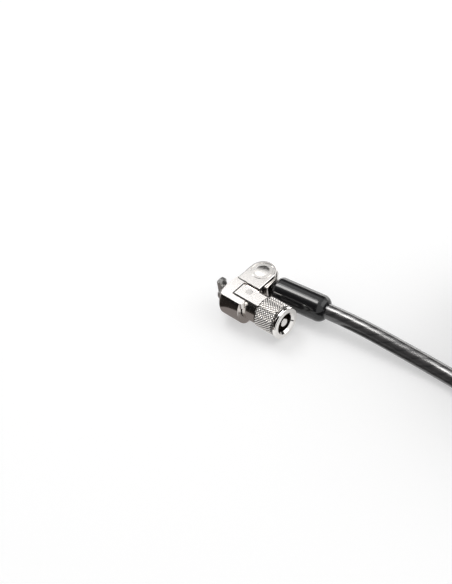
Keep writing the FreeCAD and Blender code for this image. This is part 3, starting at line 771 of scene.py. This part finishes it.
sheathFinish = {
    "dark": (0.008, 0.008, 0.009), "strand": (0.11, 0.107, 0.107), "grain": 260.0, "tone": 0.8,
    "strands": 6.0, "lay": 26.0, "strandDepth": 0.045,
    "wireShare": 0.5,  # how much of a strand's light its single wires take up
    "metallic": 0.7, "roughness": 0.34, "specular": 0.15,
    "coat": 1.0, "coatIor": 1.6, "coatRoughness": 0.15,
}


def makeSmokySheath():
    material, tree, shader = newMaterial("smokySheath")
    uv = tree.nodes.new("ShaderNodeUVMap")
    uv.uv_map = "along"
    ropeValues = {"Strands": sheathFinish["strands"], "Lay": sheathFinish["lay"]}
    rope = placeGroup(tree, strandLay, uv.outputs[0], ropeValues)
    grain = placeGrain(tree, objectPlace(tree), sheathFinish)
    share = sheathFinish["wireShare"]
    wires = mathNode(tree, "MULTIPLY", rope.outputs["Wires"], share)
    lit = mathNode(tree, "MULTIPLY", rope.outputs["Crown"], mathNode(tree, "ADD", wires, 1 - share))
    lit = mathNode(tree, "MULTIPLY", lit, grain.outputs["Shade"], True)
    base = mixColours(tree, lit, (*sheathFinish["dark"], 1), (*sheathFinish["strand"], 1))
    tree.links.new(base, shader.inputs["Base Color"])
    metallic = mathNode(tree, "MULTIPLY", rope.outputs["Crown"], sheathFinish["metallic"])
    tree.links.new(metallic, shader.inputs["Metallic"])
    shader.inputs["Roughness"].default_value = sheathFinish["roughness"]
    shader.inputs["Specular IOR Level"].default_value = sheathFinish["specular"]
    shader.inputs["Coat Weight"].default_value = sheathFinish["coat"]
    shader.inputs["Coat IOR"].default_value = sheathFinish["coatIor"]
    shader.inputs["Coat Roughness"].default_value = sheathFinish["coatRoughness"]
    normal = bumpNormal(tree, lit, sheathFinish["strandDepth"] * mm)
    tree.links.new(normal, shader.inputs["Normal"])
    return material


strapFinish = {
    "colour": (0.025, 0.025, 0.027), "grain": 500.0, "tone": 0.6,
    "ribScale": 500.0, "ribWaver": 1.5, "ribDetail": 2.0, "ribDepth": 0.12,
    "roughness": 0.75, "sheen": 0.2,
}


def makeStrapWeb():
    # ribs along the strap, so the texture turns with it
    material, tree, shader = newMaterial("strapWeb")
    place = objectPlace(tree)
    mapping = tree.nodes.new("ShaderNodeMapping")
    mapping.inputs["Rotation"].default_value = (0, 0, -math.radians(coilTie["angle"]))
    tree.links.new(place, mapping.inputs["Vector"])
    wave = tree.nodes.new("ShaderNodeTexWave")
    wave.bands_direction = "Y"
    wave.inputs["Scale"].default_value = strapFinish["ribScale"]
    wave.inputs["Distortion"].default_value = strapFinish["ribWaver"]
    wave.inputs["Detail"].default_value = strapFinish["ribDetail"]
    tree.links.new(mapping.outputs[0], wave.inputs["Vector"])
    grain = placeGrain(tree, place, strapFinish)
    base = scaledColour(tree, strapFinish["colour"], grain.outputs["Shade"])
    tree.links.new(base, shader.inputs["Base Color"])
    shader.inputs["Roughness"].default_value = strapFinish["roughness"]
    shader.inputs["Sheen Weight"].default_value = strapFinish["sheen"]
    normal = bumpNormal(tree, wave.outputs["Fac"], strapFinish["ribDepth"] * mm)
    tree.links.new(normal, shader.inputs["Normal"])
    return material


glossBoot = makeGlossBoot()
smokySheath = makeSmokySheath()
strapWeb = makeStrapWeb()


def dress(item, material):
    item.data.materials.clear()
    item.data.materials.append(material)


nodeFinishes = {
    "satinNickel": ("lock_bracket", "cable_eye", "pivot_pin", "key_rotor"),
    "groovedNickel": ("barrel_shell",),
    "polishedNickel": ("bezel_ring",),
    "turnedSteel": ("nose_plate", "guide_posts", "t_bar", "spindle", "spindle_clip", "pin_springs",
                    "pivot_washer", "swivel_stem", "stem_washer", "crimp_sleeve"),
    "dottedSteel": ("stator_pin",),
    "darkKeyway": ("keyway_liner",),
    "turnedBrass": ("pin_stator", "driver_pins", "key_pins"),
}
for finish, names in nodeFinishes.items():
    for name in names:
        dress(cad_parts[name], metals[finish])
dress(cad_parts["cable_boot"], glossBoot)
dress(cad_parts["cable_core"], glossBoot)
dress(gripPiece, metals["knurlNickel"])
dress(ferrulePiece, metals["turnedSteel"])
for item in (cablePiece, loopPiece):
    dress(item, smokySheath)
dress(tiePiece, strapWeb)
print("materials set")

# Floor, light and surroundings

studio = {
    "floorSize": 3.0, "floorColour": (0.62, 0.62, 0.62), "floorRoughness": 0.9,
    "floorLift": 0.40,  # what the floor glows with, so that its shadows stay pale
    "ambient": 0.62,  # the white surroundings' strength as light
    "lampAim": (0.005, 0, 0.005),
}


def plainlySeen(tree):
    # 1 for rays from the camera and for those that glossy or clear surfaces send on
    path = tree.nodes.new("ShaderNodeLightPath")
    seen = mathNode(tree, "MAXIMUM", path.outputs["Is Camera Ray"], path.outputs["Is Glossy Ray"])
    return mathNode(tree, "MAXIMUM", seen, path.outputs["Is Transmission Ray"])


bpy.ops.mesh.primitive_plane_add(size=studio["floorSize"], location=(0, 0, 0))
floor = bpy.context.object
floor.name = "studioFloor"
floorMaterial, floorTree, floorShader = newMaterial("paleFloor")
floorShader.inputs["Base Color"].default_value = (*studio["floorColour"], 1)
floorShader.inputs["Roughness"].default_value = studio["floorRoughness"]
floorShader.inputs["Specular IOR Level"].default_value = 0.0
floorShader.inputs["Emission Color"].default_value = (1, 1, 1, 1)
floorGlow = mathNode(floorTree, "MULTIPLY", plainlySeen(floorTree), studio["floorLift"])
floorTree.links.new(floorGlow, floorShader.inputs["Emission Strength"])
dress(floor, floorMaterial)

# cards that only reflections show, so that the metal, the boot and the sheath mirror dark and light
studioCards = {
    # name: four corners, strength, colour
    "leftCard": (
        ((-0.30, -0.30, 0.010), (-0.0116, -0.30, 0.010), (-0.0116, 0.022, 0.010), (-0.30, 0.022, 0.010)),
        1.0, (0.030, 0.028, 0.027),
    ),
    "leftEdgeCard": (
        ((-0.0116, -0.30, 0.0035), (-0.0116, -0.0116, 0.0035), (-0.0116, -0.0116, 0.010),
         (-0.0116, -0.30, 0.010)),
        1.0, (0.020, 0.017, 0.015),
    ),
    "lowCard": (
        ((-0.060, -0.060, 0.0008), (0.0005, -0.060, 0.0008), (0.0005, -0.0045, 0.0008),
         (-0.060, -0.0045, 0.0008)),
        1.0, (0.24, 0.218, 0.208),
    ),
    "cableCard": (
        ((0.019, -0.030, 0.0008), (0.075, -0.030, 0.0008), (0.075, 0.0055, 0.0008),
         (0.019, 0.0038, 0.0008)),
        1.0, (0.05, 0.048, 0.048),
    ),
    "farGlow": (
        ((-0.35, 0.20, 0.006), (0.09, 0.20, 0.006), (0.09, 0.20, 0.072), (-0.35, 0.20, 0.072)),
        3.2, (1.0, 0.99, 0.98),
    ),
    "backCard": (
        ((-0.30, 0.022, 0.010), (-0.020, 0.022, 0.010), (-0.020, 0.085, 0.115), (-0.30, 0.085, 0.115)),
        1.0, (0.008, 0.008, 0.009),
    ),
    "nearCard": (
        ((-0.55, -0.16, 0.0), (0.06, -0.16, 0.0), (0.06, -0.16, 0.58), (-0.55, -0.16, 0.58)),
        1.0, (0.010, 0.009, 0.009),
    ),
    "farCard": (
        ((-0.35, 0.20, 0.080), (0.03, 0.20, 0.080), (0.03, 0.20, 0.235), (-0.35, 0.20, 0.235)),
        1.0, (0.010, 0.010, 0.010),
    ),
    "stripCard": (
        ((-0.60, -0.08, 0.60), (-0.10, -0.08, 0.60), (-0.10, 0.15, 0.60), (-0.60, 0.15, 0.60)),
        13.0, (1.0, 0.985, 0.97),
    ),
}
cornerOrder = (0, 1, 3, 2)  # a plane's corners, taken round its edge


def makeCard(name):
    corners, brightness, colour = studioCards[name]
    card = addPlane(name)
    for corner, place in zip(cornerOrder, corners):
        card.data.vertices[corner].co = place
    material = bpy.data.materials.new(name)
    material.use_nodes = True
    tree = material.node_tree
    tree.nodes.clear()
    shine = tree.nodes.new("ShaderNodeEmission")
    shine.inputs["Color"].default_value = (*colour, 1)
    shine.inputs["Strength"].default_value = brightness
    output = tree.nodes.new("ShaderNodeOutputMaterial")
    tree.links.new(shine.outputs[0], output.inputs["Surface"])
    dress(card, material)
    card.visible_camera = False
    card.visible_diffuse = False
    card.visible_transmission = False
    card.visible_shadow = False


for cardName in studioCards:
    makeCard(cardName)
bpy.ops.object.select_all(action="DESELECT")

studioLamps = {
    # name: place, size, power
    "keyLamp": ((-0.30, 0.10, 0.62), 0.34, 1.4),
    "fillLamp": ((0.45, 0.30, 0.45), 0.5, 1.2),
}
for lampName, (place, size, power) in studioLamps.items():
    lampData = bpy.data.lights.new(lampName, "AREA")
    lampData.shape = "SQUARE"
    lampData.size = size
    lampData.energy = power
    lamp = bpy.data.objects.new(lampName, lampData)
    lamp.location = place
    aim = Vector(studio["lampAim"]) - Vector(place)
    lamp.rotation_euler = aim.to_track_quat("-Z", "Y").to_euler()
    bpy.context.collection.objects.link(lamp)

world = bpy.data.worlds.new("studioWorld")
bpy.context.scene.world = world
world.use_nodes = True
worldTree = world.node_tree
worldShade = worldTree.nodes["Background"]
# full white where it is seen, and weaker as light
extra = mathNode(worldTree, "MULTIPLY", plainlySeen(worldTree), 1.0 - studio["ambient"])
worldTree.links.new(mathNode(worldTree, "ADD", extra, studio["ambient"]), worldShade.inputs["Strength"])
worldShade.inputs["Color"].default_value = (1, 1, 1, 1)
print("studio set")
